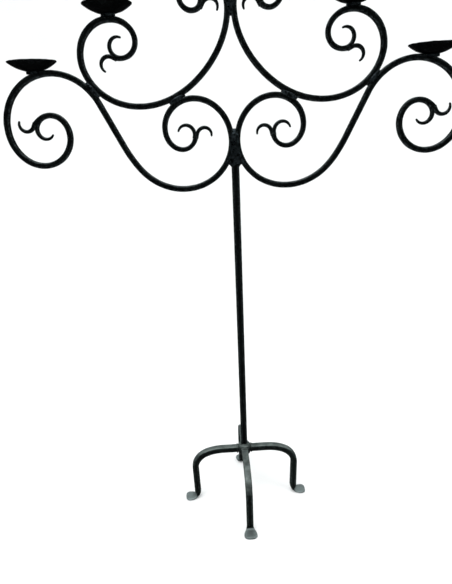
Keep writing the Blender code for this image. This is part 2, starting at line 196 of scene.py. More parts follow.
def turnedShell(profile, place, sides=64, dent=0.0, seed=0.0):
    # A profile of (radius, height), from the axis round to the axis, turned about Z. dent
    # lifts it by the product of two slow waves over the plan plus a slanting one, the same on
    # both faces of a wall; it fades to nothing towards the axis.
    angle = 2 * pi * np.arange(sides) / sides
    radius, height = profile[1:-1, :1], profile[1:-1, 1:]
    x, y = radius * np.cos(angle), radius * np.sin(angle)
    waves = np.sin(x * 310 + seed) * np.sin(y * 270 + 2 * seed) + np.sin(x * 150 - y * 190 + seed)
    fullRadius = 0.03
    lift = dent * waves * np.clip(radius / fullRadius, 0, 1)
    rings = np.stack([x, y, height + lift], -1) + np.array(place)
    poles = [np.array(place) + (0, 0, h) for h in (profile[0, 1], profile[-1, 1])]
    return closedShell(rings, *poles, 0.3)


def pillowShell(across, along, thick, place, angle, rows=46, columns=30):
    # Two grids over s from -1 to 1 and t from 0 to 1, bulging to the front and to the back by
    # thick(s, t), which falls to nothing at the border that they share.
    s, t = np.meshgrid(np.sin(np.linspace(-pi / 2, pi / 2, columns)),
                       (1 - np.cos(np.linspace(0, pi, rows))) / 2)
    x, z, y = across(s, t), along(s, t), thick(s, t)
    y[0] = y[-1] = y[:, 0] = y[:, -1] = 0.0
    turned = np.stack([x * sin(angle) + z * cos(angle), z * sin(angle) - x * cos(angle)], -1)
    front = np.stack([turned[..., 0], -y, turned[..., 1]], -1)
    back = (front * (1, -1, 1))[1:-1, 1:-1]
    index = np.arange(rows * columns).reshape(rows, columns)
    behind = index.copy()
    behind[1:-1, 1:-1] = rows * columns + np.arange(back.shape[0] * back.shape[1]).reshape(
        back.shape[:2])
    points = np.concatenate([front.reshape(-1, 3), back.reshape(-1, 3)])
    points = points + (place[0], 0.0, place[1])
    quads = np.concatenate([gridFaces(index, False), gridFaces(behind, False)[:, ::-1]])
    return facedOut(points, quads, np.zeros((0, 3), int), np.full(len(points), 0.4))


beadForm = {
    "power": 5.0,  # exponent of the square that the bead goes round
    "plain": 0.86, "ripples": ((19, 0.14, 0), (7, 0.07, 1.3)),  # count, share, phase
}


def beadShell(halfSize, place, axis, thick, rings=120, sides=14):
    # A ring of weld: a round section of rippled radius carried round a soft-cornered square,
    # whose plane is square to the axis.
    u = 2 * pi * np.arange(rings)[:, None] / rings
    v = 2 * pi * np.arange(sides)[None] / sides
    power = beadForm["power"]
    reach = halfSize * (abs(np.cos(u)) ** power + abs(np.sin(u)) ** power) ** (-1 / power)
    ripple = sum(share * np.sin(count * u + phase) for count, share, phase in beadForm["ripples"])
    fat = thick * (beadForm["plain"] + ripple)
    away = reach + fat * np.cos(v)
    local = np.stack([away * np.cos(u), away * np.sin(u), fat * np.sin(v) + 0 * u], -1)
    axis = np.array(axis, float)
    first = np.cross((0, 0, 1.0), axis) if abs(axis[2]) < 0.9 else np.array((1.0, 0, 0))
    first = first / np.linalg.norm(first)
    points = local @ np.stack([first, np.cross(axis, first), axis]) + np.array(place)
    index = np.arange(rings * sides).reshape(rings, sides)
    quads = gridFaces(np.concatenate([index, index[:1]]))
    return facedOut(points.reshape(-1, 3), quads, np.zeros((0, 3), int),
                    np.full(rings * sides, 0.4))


def makePiece(name, shells, material, stoodFor=()):
    # Joins closed shells into one object at the origin and hangs it on the frame.
    points, faces, wear, base = [], [], [], 0
    for shellPoints, quads, triangles, shellWear in shells:
        points.append(shellPoints)
        faces += (quads + base).tolist() + (triangles + base).tolist()
        wear.append(shellWear)
        base += len(shellPoints)
    points = np.clip(np.concatenate(points), np.array(cadLow), np.array(cadHigh))
    mesh = bpy.data.meshes.new(name)
    mesh.from_pydata(points, [], faces)
    mesh.attributes.new("edgeWear", "FLOAT", "POINT").data.foreach_set(
        "value", np.concatenate(wear).astype(np.float32))
    mesh.shade_smooth()
    mesh.materials.append(material)
    piece = bpy.data.objects.new(name, mesh)
    bpy.context.scene.collection.objects.link(piece)
    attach(piece, "root")
    if stoodFor:
        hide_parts(*stoodFor)
    return piece


def hexColour(code):
    # sRGB hex to linear: below 0.04045 divide by 12.92, above raise to the power 2.4.
    parts = np.array([int(code[k:k + 2], 16) / 255 for k in (1, 3, 5)])
    linear = np.where(parts <= 0.04045, parts / 12.92, ((parts + 0.055) / 1.055) ** 2.4)
    return (*linear.tolist(), 1.0)


def addNode(tree, kind, settings=None, links=None):
    # settings go to the node itself where it has one of that name, else to its inputs.
    node = tree.nodes.new("ShaderNode" + kind)
    for key, value in (settings or {}).items():
        if isinstance(key, str) and hasattr(node, key):
            setattr(node, key, value)
        else:
            node.inputs[key].default_value = value
    for key, source in (links or {}).items():
        tree.links.new(source, node.inputs[key])
    return node


def newMaterial(name, metallic, edgeTint="#ffffff", gloss=0.5):
    # edgeTint darkens what the surface reflects at a slant, and gloss what its wax reflects.
    material = bpy.data.materials.new(name)
    material.use_nodes = True
    tree = material.node_tree
    shader = tree.nodes["Principled BSDF"]
    shader.inputs["Metallic"].default_value = metallic
    shader.inputs["Specular Tint"].default_value = hexColour(edgeTint)
    shader.inputs["Specular IOR Level"].default_value = gloss
    coords = addNode(tree, "TexCoord").outputs["Object"]
    return material, tree, shader, coords


def noise(tree, coords, size, detail=3.0):
    # size is the width of one blotch in metres.
    settings = {"Scale": 1 / size, "Detail": detail, "Roughness": 0.55}
    return addNode(tree, "TexNoise", settings, {"Vector": coords}).outputs["Fac"]


def ranged(tree, source, fromLow, fromHigh, toLow=0.0, toHigh=1.0):
    # The source's share of the way between the first pair, held to 0 and 1, taken in the other.
    settings = {"From Min": fromLow, "From Max": fromHigh, "To Min": toLow, "To Max": toHigh}
    return addNode(tree, "MapRange", settings, {"Value": source}).outputs["Result"]


def product(tree, first, second):
    # One socket times another.
    return addNode(tree, "Math", {"operation": "MULTIPLY"}, {0: first, 1: second}).outputs[0]


def blended(tree, factor, first, second):
    # first and second are hex colours or sockets.
    settings, links = {"data_type": "RGBA"}, {0: factor}
    for key, colour in ((6, first), (7, second)):
        if isinstance(colour, str):
            settings[key] = hexColour(colour)
        else:
            links[key] = colour
    return addNode(tree, "Mix", settings, links).outputs[2]


def bumped(tree, height, depth, strength, under=None):
    # Tilts the normal by the slope of height times depth, on top of any normal under it.
    links = {"Height": height}
    if under:
        links["Normal"] = under
    settings = {"Distance": depth, "Strength": strength}
    return addNode(tree, "Bump", settings, links).outputs["Normal"]


bumpDepth = {"hammer": 0.0012, "grain": 0.0006, "speck": 0.0002}
# The part of a noise, or of a face's slant, over which each mask goes from none to full; where
# there is a second pair, it goes between those values.
masks = {
    "scale": (0.36, 0.64), "speck": (0.62, 0.74, 0, 0.5), "paleShare": (0.42, 0.62),
    "rough": (0.3, 0.7), "patch": (0.35, 0.65, 0.45, 1.0), "upFacing": (0.25, 0.90),
    "footUpFacing": (-0.3, 0.4, 0.35, 1.0),
}


def forgedSurface(tree, shader, coords, recipe):
    # What every piece of this ironwork has: blotches of forge scale in two sizes, hammer
    # marks, bright worn corners, and gloss that goes with the scale. Returns the colour.
    blotch = noise(tree, coords, recipe["blotchSize"], 4.0)
    grain = noise(tree, coords, recipe["grainSize"], 3.0)
    speck = noise(tree, coords, recipe["grainSize"] / 4, 2.0)
    colour = blended(tree, ranged(tree, blotch, *masks["scale"]), recipe["dark"], recipe["light"])
    colour = blended(tree, ranged(tree, speck, *masks["speck"]), colour, recipe["speck"])
    edge = addNode(tree, "Attribute", {"attribute_name": "edgeWear"}).outputs["Fac"]
    paleShare = product(tree, edge, ranged(tree, grain, *masks["paleShare"], 0, recipe["edgeWear"]))
    colour = blended(tree, paleShare, colour, recipe["worn"])
    low, high = recipe["roughness"]
    rough = ranged(tree, grain, *masks["rough"], low, high)
    tree.links.new(rough, shader.inputs["Roughness"])
    hammer = addNode(tree, "TexVoronoi", {"feature": "SMOOTH_F1", "Scale": 1 / recipe["hammerSize"],
                                          "Smoothness": 0.9}, {"Vector": coords})
    normal = bumped(tree, hammer.outputs["Distance"], bumpDepth["hammer"], recipe["hammer"])
    normal = bumped(tree, grain, bumpDepth["grain"], recipe["grain"], normal)
    normal = bumped(tree, speck, bumpDepth["speck"], recipe["grain"], normal)
    tree.links.new(normal, shader.inputs["Normal"])
    return colour


def upwardness(tree):
    # How squarely a face looks up: 1 on top, 0 on a wall, below 0 underneath.
    facing = addNode(tree, "NewGeometry").outputs["Normal"]
    return addNode(tree, "SeparateXYZ", None, {0: facing}).outputs["Z"]


def dustAndTopSheen(tree, coords, colour, recipe):
    # Paler patches on the faces that look up: dust and wax, but painted sheen on the bars.
    patch = ranged(tree, noise(tree, coords, recipe["dustAndSheenSize"], 4.0), *masks["patch"])
    upFacing = ranged(tree, upwardness(tree), *masks["upFacing"], 0, recipe["dustAndSheenShare"])
    return blended(tree, product(tree, upFacing, patch), colour, recipe["dust"]), patch


# Square wrought bar, blackened with oil at the forge and waxed.
barFinish = {
    "name": "waxedBlackIron", "metallic": 0.92, "edgeTint": "#8a8f90", "gloss": 0.25,
    "dark": "#020303", "light": "#080a0a", "speck": "#15191a", "worn": "#4a5153",
    "blotchSize": 0.060, "grainSize": 0.0045, "hammerSize": 0.017,
    "edgeWear": 0.35, "roughness": (0.26, 0.46), "hammer": 0.35, "grain": 0.45,
    # painted sheen: the grey on the faces that look up stands for the light from above
    "dust": "#59605f", "dustAndSheenShare": 0.70, "dustAndSheenSize": 0.024,
}


# Weld metal filed smooth by hand and blackened; bluer and glossier than the bars.
weldFinish = {
    "name": "dressedWeldMetal", "metallic": 0.92, "edgeTint": "#90989c", "gloss": 0.25,
    "dark": "#020303", "light": "#080b0c", "speck": "#0e1315", "worn": "#566066",
    "blotchSize": 0.030, "grainSize": 0.0080, "hammerSize": 0.011,
    "edgeWear": 0.25, "roughness": (0.24, 0.42), "hammer": 0.35, "grain": 0.16,
    "dust": "#4c565b", "dustAndSheenShare": 0.50, "dustAndSheenSize": 0.015,
}


# Thin iron sheet, dished cold over a stake, with a little old wax greying the hollow.
panFinish = {
    "name": "dishedSheetIron", "metallic": 0.94, "edgeTint": "#5a5c5c", "gloss": 0.10,
    "dark": "#020202", "light": "#080909", "speck": "#121414", "worn": "#3d4345",
    "blotchSize": 0.045, "grainSize": 0.0035, "hammerSize": 0.010,
    "edgeWear": 0.20, "roughness": (0.38, 0.60), "hammer": 0.45, "grain": 0.35,
    "dust": "#363836", "dustAndSheenShare": 0.35, "dustAndSheenSize": 0.018,
}


# The same black bar low down, grey on every face that looks up; the feet go pale
# from the foot height down, most where they look up.
legFinish = {
    "name": "dustyFloorIron", "metallic": 0.85, "edgeTint": "#a8aeae", "gloss": 0.30,
    "dark": "#030404", "light": "#0b0f0e", "speck": "#1d2422", "worn": "#616c6a",
    "blotchSize": 0.040, "grainSize": 0.0045, "hammerSize": 0.015,
    "edgeWear": 0.35, "roughness": (0.42, 0.66), "hammer": 0.40, "grain": 0.50,
    "dust": "#86918e", "dustAndSheenShare": 0.62, "dustAndSheenSize": 0.020,
    "footHeight": 0.012, "fullHeight": 0.012 * 0.45, "footColour": "#7c8787",
}


def forgedIron(recipe):
    # A forged surface under the paler patches on the faces that look up. With a foot height,
    # those patches turn pale from there down, most where the face looks up.
    material, tree, shader, coords = newMaterial(
        recipe["name"], recipe["metallic"], recipe["edgeTint"], recipe["gloss"])
    colour = forgedSurface(tree, shader, coords, recipe)
    colour, patch = dustAndTopSheen(tree, coords, colour, recipe)
    if "footHeight" in recipe:
        height = addNode(tree, "SeparateXYZ", None, {0: coords}).outputs["Z"]
        low = ranged(tree, height, recipe["footHeight"], recipe["fullHeight"])
        # the feet go pale from the foot height down, most on the faces that look up
        footUpFacing = ranged(tree, upwardness(tree), *masks["footUpFacing"])
        paleShare = product(tree, product(tree, low, footUpFacing), patch)
        colour = blended(tree, paleShare, colour, recipe["footColour"])
    tree.links.new(colour, shader.inputs["Base Color"])
    return material


barIron, weldIron = forgedIron(barFinish), forgedIron(weldFinish)
panIron, legIron = forgedIron(panFinish), forgedIron(legFinish)
print("finishes made")


lowerScroll = {
    "height": 1.076,  # where the two lower scrolls touch
    "outward": (  # down, up the diagonal and round the outer spiral
        (90, 0.097, 0.133), (45, 0.133, 0.139), (19, 0.139, 0.420), (0, 0.103, 0),
        (-52, 0.130, 0.115), (-82, 0.115, 0.120), (-80, 0.120, 0.071),
        (-90, 0.071, 0.070), (-90, 0.070, 0.038), (-92, 0.038, 0.046),
    ),
    "inward": (  # up and round the inner spiral
        (-90, 0.110, 0.077), (-90, 0.077, 0.059), (-90, 0.059, 0.032), (-76, 0.032, 0.031),
        (0, 0.0085, 0),
    ),
}
upperScroll = {
    "firstGuess": 0.28,  # above the lower scrolls' height
    "bowl": ((43, 0.129, 0.259), (47, 0.259, 0.170), (90, 0.170, 0.079)),
    "spiral": ((90, 0.079, 0.070), (90, 0.070, 0.033), (117, 0.033, 0.038)),
    "inward": ((-90, 0.078, 0.052), (-90, 0.052, 0.036), (-90, 0.036, 0.024),
               (-60, 0.024, 0.024)),
}
scrollEnd = {
    "thinned": (0.011, 0.0128), "flared": (0.0148, 0.0172),  # second, at the lower outer ends
    "thinningRun": 0.150, "flaringRun": 0.026, "thinningPower": 0.8,
    "root": 0.0092, "tip": 0.0044, "widthPower": 2.6, "depthPower": 1.8,
    "sink": 0.0096, "aside": (0.0026, 0.0037),
    "onward": (185, 0.0235, 0.0168), "back": (185, 0.0195, 0.0148),
    "onwardStraight": 0.0045, "backStraight": 0.0121, "onwardDepth": 0.0118, "backDepth": 0.0108,
    "barDome": 0.0075,  # how far the bar itself rounds off between its curls
    "marks": 0.35, "dome": 0.0021, "power": (5.0, 2.6), "sides": 32, "spacing": 0.0016,
}


def upperBends(scale):
    # Only the bowl's radii go with the scale; the spiral keeps its own.
    bowl = tuple((turn, first * scale, last * scale) for turn, first, last in upperScroll["bowl"])
    return bowl + upperScroll["spiral"]


def seatUpper(lowerInward, lowerOutward):
    # Newton's method for the height of the upper scrolls and the size of their bowl at which
    # each touches both spirals of the lower scroll: a bar and a gap between centrelines.
    wanted = stock["scrollBar"] + stock["gap"]

    def misfit(height, scale):
        line = bentLine((wanted / 2, height), -90, upperBends(scale))
        return np.array([nearest(line, lowerInward)[0], nearest(line, lowerOutward)[0]]) - wanted

    guess = np.array([lowerScroll["height"] + upperScroll["firstGuess"], 1.0])
    nudge, rounds = 1e-4, 12
    for _ in range(rounds):
        here = misfit(*guess)
        slopes = [(misfit(*(guess + step)) - here) / nudge for step in nudge * np.eye(2)]
        guess = guess - np.linalg.solve(np.array(slopes).T, here)
    return guess


def scrollWidth(total, outer):
    # Thinned towards each end, then flared at the very end by the square of the share of the
    # flaring run. outer is 1 if the far end is an outer one, which stays heavier.
    def endWidth(fromEnd, kind):
        thinned, flared = scrollEnd["thinned"][kind], scrollEnd["flared"][kind]
        flare = np.clip(1 - fromEnd / scrollEnd["flaringRun"], 0, 1) ** 2
        thin = np.clip((fromEnd - scrollEnd["flaringRun"]) / scrollEnd["thinningRun"], 0, 1)
        plain = thinned + (stock["scrollBar"] - thinned) * thin ** scrollEnd["thinningPower"]
        return plain + (flared - thinned) * flare

    return lambda run: np.where(run < total / 2, endWidth(run, 0), endWidth(total - run, outer))


def curlShells(line, side, spiralTurn, seed, outer=0):
    # The split end: two tapering curls that leave the bar's end side by side and bend apart.
    # The size goes from root to tip by a power of the share of the way.
    (x, z), way = line[0][-1], line[1][-1]
    root, tip, sink = scrollEnd["root"], scrollEnd["tip"], scrollEnd["sink"]
    shells = []
    for kind, sign in (("onward", spiralTurn), ("back", -spiralTurn)):
        aside = sign * scrollEnd["aside"][outer]
        start = (x - sink * cos(way) - aside * sin(way), z - sink * sin(way) + aside * cos(way))
        turn, first, last = scrollEnd[kind]
        bends = ((0, scrollEnd[f"{kind}Straight"], 0), (sign * turn, first, last))
        curl = bentLine(start, way * 180 / pi, bends)
        total, deep = curl[2][-1], scrollEnd[f"{kind}Depth"]

        def taper(run, full, power):
            share = np.clip((run - root) / (total - root), 0, 1)
            return full + (tip - full) * share ** power

        shells.append(sweptBar(
            curl, lambda run: taper(run, root, scrollEnd["widthPower"]),
            lambda run: taper(run, deep, scrollEnd["depthPower"]), side, seed, scrollEnd["marks"],
            scrollEnd["dome"], lambda run: np.interp(run, [0, total], scrollEnd["power"]),
            scrollEnd["sides"], scrollEnd["spacing"]))
    return shells


contactX = (stock["scrollBar"] + stock["gap"]) / 2
lowerInward = bentLine((contactX, lowerScroll["height"]), 90, lowerScroll["inward"])
lowerOutward = bentLine((contactX, lowerScroll["height"]), -90, lowerScroll["outward"])
upperHeight, bowlScale = seatUpper(lowerInward, lowerOutward)
upperOutward = bentLine((contactX, upperHeight), -90, upperBends(bowlScale))
upperInward = bentLine((contactX, upperHeight), 90, upperScroll["inward"])

for side, where in ((1, "Right"), (-1, "Left")):
    for level, inward, outward, lastTurn in (("lower", lowerInward, lowerOutward, -1),
                                             ("upper", upperInward, upperOutward, 1)):
        line = joinedLine(inward, outward)
        outer = 1 if level == "lower" else 0
        width = scrollWidth(line[2][-1], outer)
        seed = 2.3 * side + (4.1 if level == "upper" else 0.6)
        shells = [sweptBar(line, width, lambda run: np.minimum(width(run), stock["scrollBar"]),
                           side, seed, dome=scrollEnd["barDome"])]
        shells += curlShells(line, side, lastTurn, seed, outer)
        shells += curlShells(reversedLine(line), side, -1, seed + 1)
        node = f"{level}_scroll_{where.lower()}"
        makePiece(f"{level}Scroll{where}", shells, barIron, [node])
print("scrolls made, upper pair seated at", round(float(upperHeight), 4))


standing = {"marks": 1.2, "dome": 0.0012}


def standingBar(name, node, size, seed):
    # A straight bar up the middle, between the heights of its CAD node.
    low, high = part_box(node)
    line = bentLine((0, low.z), 90, ((0, high.z - low.z, 0),))

    def width(run):
        return np.full_like(run, size)

    shell = sweptBar(line, width, width, 1, seed, standing["marks"], standing["dome"])
    makePiece(name, [shell], barIron, [node])


standingBar("stem", "stem", stock["stemBar"], 1.1)
standingBar("centrePost", "centre_post", stock["scrollBar"], 3.7)
print("stem and post made")


legs = {
    "hubHeight": 0.178, "reach": 0.154, "turn": 2.5, "clearance": 0.0005,
    "shoulder": ((-25, 0.150, 0.105), (-66, 0.060, 0.052)),
    "heel": 0.012, "footLength": 0.027, "footWidth": 0.038, "footThickness": 0.007,
    "drawn": 0.010,  # how far above the heel the bar starts to thin
    "thin": 0.8,  # where it has done so, as a share of the heel's radius
    "nose": 0.016,  # length of the rounded end of the foot
    "noseWidth": 0.004, "nosePower": 2.4, "footPower": 3.2, "endDome": 0.0018,
}


def legLine():
    # Arm, shoulder, straight shank and the bend into the foot. The lean is what the shoulder
    # leaves of a right angle, and the shank is as long as brings the foot down to the floor.
    across, fall = bentLine((0, 0), 0, legs["shoulder"])[0][-1]
    lean = -radians(sum(bend[0] for bend in legs["shoulder"]))
    innerEnd = max(stock["stemBar"], stock["legBar"]) / 2 + legs["clearance"]
    arm = legs["reach"] - innerEnd - across
    footRise = legs["footThickness"] / 2 + legs["heel"] * (1 - cos(lean))
    shank = (legs["hubHeight"] + fall - footRise) / sin(lean)
    bends = ((0, arm, 0), *legs["shoulder"], (0, shank, 0),
             (lean * 180 / pi, legs["heel"], legs["heel"]), (0, legs["footLength"], 0))
    return bentLine((innerEnd, legs["hubHeight"]), 0, bends)


def smoothly(run, marks, values):
    # Between two marks the value goes over by 3 q squared less 2 q cubed.
    result = np.full_like(run, values[0])
    for low, high, first, last in zip(marks, marks[1:], values, values[1:]):
        q = np.clip((run - low) / (high - low), 0, 1)
        result = result + (last - first) * q * q * (3 - 2 * q)
    return result


def legShell(quarter):
    # The bar is thinned and widened towards the heel, then the foot narrows over its nose by a
    # superellipse. The whole is turned about Z by quarters of a circle.
    line = legLine()
    end = line[2][-1]
    heel = end - legs["footLength"] - legs["heel"] * pi / 2
    marks = [heel - legs["drawn"], heel + legs["heel"] * legs["thin"]]
    bar, foot, nose = stock["legBar"], legs["footThickness"], legs["nose"]

    def thick(run):
        return smoothly(run, marks, [bar, foot])

    def wide(run):
        spread = smoothly(run, [heel, end - nose], [bar, legs["footWidth"]])
        share, power = np.clip((run - end + nose) / nose, 0, 1), legs["nosePower"]
        return spread * (1 - share ** power) ** (1 / power) + legs["noseWidth"] * share

    points, quads, triangles, wear = sweptBar(
        line, thick, wide, 1, 1.3 * quarter + 0.4, 1.0, legs["endDome"],
        lambda run: smoothly(run, [heel, heel + legs["heel"]],
                             [stock["squareness"], legs["footPower"]]))
    turn = quarter * pi / 2 + radians(legs["turn"])
    x, y, z = points.T
    points = np.stack([x * cos(turn) - y * sin(turn), x * sin(turn) + y * cos(turn), z], 1)
    return points, quads, triangles, wear


for quarter, where in enumerate(("Right", "Back", "Left", "Front")):
    makePiece(f"leg{where}", [legShell(quarter)], legIron, [f"leg_{where.lower()}"])

hub = {
    "width": 0.044, "depth": 0.040, "ripple": 0.0007, "bead": 0.0026,
    "legBead": 0.8,  # thickness of the beads on the legs, as a share of the stem's
    "stemRoom": 0.0006, "legRoom": 0.0002,  # from a bar's side to the middle of its bead
    "stemSunk": 0.002, "legSunk": 0.0006,  # from the hub's outside in to the bead
    "rings": 44, "sides": 96,
}


def hubShell():
    # A ball flattened towards a barrel: the width goes with the root of the sine of the angle
    # from its axis. Ripples run round it in slanting rows.
    polar = np.linspace(0, pi, hub["rings"])[1:-1, None]
    turn = 2 * pi * np.arange(hub["sides"])[None] / hub["sides"]
    ripple = 0.5 + 0.25 * np.sin(17 * polar + 3 * turn) + 0.25 * np.sin(5 * turn - 9 * polar)
    across = hub["width"] / 2 * np.sqrt(np.sin(polar)) - hub["ripple"] * ripple
    tall = hub["depth"] / 2 - hub["ripple"]
    height = legs["hubHeight"] - tall * np.cos(polar)
    rings = np.stack([across * np.cos(turn), across * np.sin(turn), height + 0 * turn], -1)
    poles = [(0, 0, legs["hubHeight"] - tall), (0, 0, legs["hubHeight"] + tall)]
    return closedShell(rings, *poles, 0.4)


makePiece("hub", [hubShell()], legIron, ["hub"])
beadHeight = legs["hubHeight"] + hub["depth"] / 2 - hub["stemSunk"]
stemBead = beadShell(stock["stemBar"] / 2 + hub["stemRoom"], (0, 0, beadHeight), (0, 0, 1),
                     hub["bead"])
legBeads = []
for quarter in range(4):
    turn = quarter * pi / 2 + radians(legs["turn"])
    out = np.array((cos(turn), sin(turn), 0.0))
    beadPlace = out * (hub["width"] / 2 - hub["legSunk"]) + (0, 0, legs["hubHeight"])
    legBeads.append(beadShell(stock["legBar"] / 2 + hub["legRoom"], beadPlace, out,
                              hub["bead"] * hub["legBead"]))
makePiece("hubBeads", [stemBead, *legBeads], legIron)
print("legs and hub made")


webWeld = {
    "proud": 0.0022, "archRise": 0.0065, "archFade": 3, "ripple": 0.00025,
    "lap": 0.30,  # how far the web runs into a bar past its centreline, as a share of the bar
    "edge": 0.14, "tail": 0.45,  # shares of the height over which its two ends round off
    "crown": (3.2, 2.2),  # exponents of the section, inner and outer
    "leastClear": 0.002,
    "openEnd": 0.001,  # how far the open edge lies past the CAD weld's, before the arches
    "away": 90, "over": 60,  # points of the centrelines that the web follows
    "waves": (70, 6),  # of the ripple, in radians along the web and across half of it
    "rows": 70, "columns": 44,
}


def webShell(lineAway, lineOver, meeting, thickest, lowest, highest, way):
    # The web that fills the fork of two bars round a third. Its half width follows the bars'
    # centrelines; its open edge rises in an arch on each side of the middle bar, as the sine
    # of the share of the way across; way is 1 where that edge is at the bottom.
    away, over = lineAway[0][:webWeld["away"]], lineOver[0][1:webWeld["over"]]
    heights = np.concatenate([away[::-1, 1], over[:, 1]])
    halves = np.concatenate([away[::-1, 0], over[:, 0]])
    order = np.argsort(heights)

    def middleHeight(t):
        return lowest + (highest - lowest) * (t if way > 0 else 1 - t)

    def across(s, t):
        half = np.interp(middleHeight(t), heights[order], halves[order])
        return s * (half + stock["scrollBar"] * webWeld["lap"])

    def along(s, t):
        x = abs(across(s, t))
        inner = np.interp(middleHeight(t), heights[order], halves[order])
        clear = np.maximum(inner - (stock["scrollBar"] + thickest) / 2, webWeld["leastClear"])
        q = np.clip((x - thickest / 2) / clear, 0, 1)
        arch = webWeld["archRise"] * np.sin(pi * q) * (1 - t) ** webWeld["archFade"]
        return middleHeight(t) + way * arch - meeting

    def thick(s, t):
        edge = np.clip(t / webWeld["edge"], 0, 1)
        tail = np.clip((1 - t) / webWeld["tail"], 0, 1)
        shape = np.sqrt(1 - (1 - edge) ** 2) * np.sqrt(1 - (1 - tail) ** 2)
        inner, outer = webWeld["crown"]
        crown = (1 - abs(s) ** inner) ** (1 / outer)
        lengthways, sideways = webWeld["waves"]
        ripple = webWeld["ripple"] * (1 + np.sin(lengthways * t + sideways * abs(s)))
        return (thickest / 2 + webWeld["proud"] - ripple) * crown * shape

    return pillowShell(across, along, thick, (0, meeting), pi / 2, webWeld["rows"],
                       webWeld["columns"])


centreBox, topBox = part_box("weld_centre"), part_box("weld_top")
centreWeb = webShell(lowerOutward, lowerInward, lowerScroll["height"], stock["stemBar"],
                     centreBox[0].z - webWeld["openEnd"], centreBox[1].z, 1)
topWeb = webShell(upperInward, upperOutward, upperHeight, stock["scrollBar"],
                  topBox[0].z, topBox[1].z + webWeld["openEnd"], -1)
makePiece("weldCentre", [centreWeb], weldIron, ["weld_centre"])
makePiece("weldTop", [topWeb], weldIron, ["weld_top"])

sideWeld = {
    "length": 0.042, "width": 1.15, "proud": 0.0022, "ripple": 0.0003,
    "waist": 0.35, "bow": 0.12,  # share lost in width towards its ends, in length at its sides
    "power": 2.6, "endPower": 0.4, "waves": (34, 4),
}


def sideWeldShell(place, angle):
    # A pillow whose width falls off by the square of the way to its ends, and whose thickness
    # falls off by a superellipse both across and along, less a fine ripple.
    halfWidth = sideWeld["width"] * stock["scrollBar"] / 2
    halfThick = stock["scrollBar"] / 2 + sideWeld["proud"]

    def across(s, t):
        return s * halfWidth * (1 - sideWeld["waist"] * (2 * t - 1) ** 2)

    def along(s, t):
        return (2 * t - 1) * sideWeld["length"] / 2 * (1 - sideWeld["bow"] * s * s)

    def thick(s, t):
        lengthways, sideways = sideWeld["waves"]
        ripple = sideWeld["ripple"] * (1 + np.sin(lengthways * t + sideways * s))
        crown = np.sqrt(1 - abs(s) ** sideWeld["power"])
        return (halfThick - ripple) * crown * (
            1 - abs(2 * t - 1) ** sideWeld["power"]) ** sideWeld["endPower"]

    return pillowShell(across, along, thick, place, angle)


for kind, line in (("Inner", lowerInward), ("Outer", lowerOutward)):
    _, at, way = nearest(upperOutward, line)
    for side, where in ((1, "Right"), (-1, "Left")):
        shell = sideWeldShell((side * at[0], at[1]), way if side > 0 else pi - way)
        node = f"weld_{kind.lower()}_{where.lower()}"
        makePiece(f"weld{kind}{where}", [shell], weldIron, [node])
print("welds made")


pan = {
    "radius": 0.055, "depth": 0.019, "wall": 0.0022, "flat": 0.016, "roll": 0.0017,
    "dent": 0.00018, "saddleRadius": 0.016, "saddleCorner": 0.0012,
    "screwHead": (0.0075, 0.004),
    "rolled": (-110, 150),  # degrees, from where the rim's bead starts to where it ends
    "joins": (0.5, 1.25),  # under side's end and inside's start, in roll radii in from the bead
    "rings": 30, "rimRings": 15, "bossRings": 7, "headRings": 14,
    "neck": ((0.5, 0.001), (0.93, 0.0004)),  # below the head: share of its radius, depth
    "dishSides": 96, "saddleSides": 64, "screwSides": 48,
}


def dishProfile():
    # Part of a ball, flattened in the middle; the rim is rolled over a round bead.
    ball = (pan["radius"] ** 2 + pan["depth"] ** 2) / (2 * pan["depth"])
    sink = ball - sqrt(ball ** 2 - pan["flat"] ** 2)
    whole = ball - sqrt(ball ** 2 - pan["radius"] ** 2) - sink

    def rise(radius):
        return np.clip(ball - np.sqrt(ball ** 2 - radius ** 2) - sink, 0, None) * (
            pan["depth"] / whole)

    roll, edge = pan["roll"], pan["radius"] - pan["roll"]
    radius = np.linspace(0, edge - roll * pan["joins"][0], pan["rings"])
    under = np.stack([radius, rise(radius)], 1)
    middle = np.array([edge, pan["depth"] + pan["wall"] - roll])
    turn = np.radians(np.linspace(*pan["rolled"], pan["rimRings"]))[:, None]
    rim = middle + roll * np.concatenate([np.cos(turn), np.sin(turn)], 1)
    radius = np.linspace(edge - roll * pan["joins"][1], 0, pan["rings"])
    inside = np.stack([radius, rise(radius) + pan["wall"]], 1)
    return np.concatenate([under, rim, inside])


def roundedBoss(radius, low, high, corner):
    # A short round block whose two edges are quarter circles.
    turn = np.linspace(0, pi / 2, pan["bossRings"])[:, None]
    foot = np.concatenate([radius - corner + corner * np.sin(turn),
                           low + corner - corner * np.cos(turn)], 1)
    head = np.concatenate([radius - corner + corner * np.cos(turn),
                           high - corner + corner * np.sin(turn)], 1)
    return np.concatenate([[(0, low), (radius / 2, low)], foot, head,
                           [(radius / 2, high), (0, high)]])


def domedHead(radius, low, high):
    # A shank end and a domed head: the height over the head is a quarter of an ellipse.
    turn = np.linspace(0, pi / 2, pan["headRings"])[:, None]
    dome = np.concatenate([radius * np.cos(turn), low + (high - low) * np.sin(turn)], 1)
    neck = [(radius * share, low - depth) for share, depth in pan["neck"]]
    return np.concatenate([[(0, neck[0][1])], neck, dome])


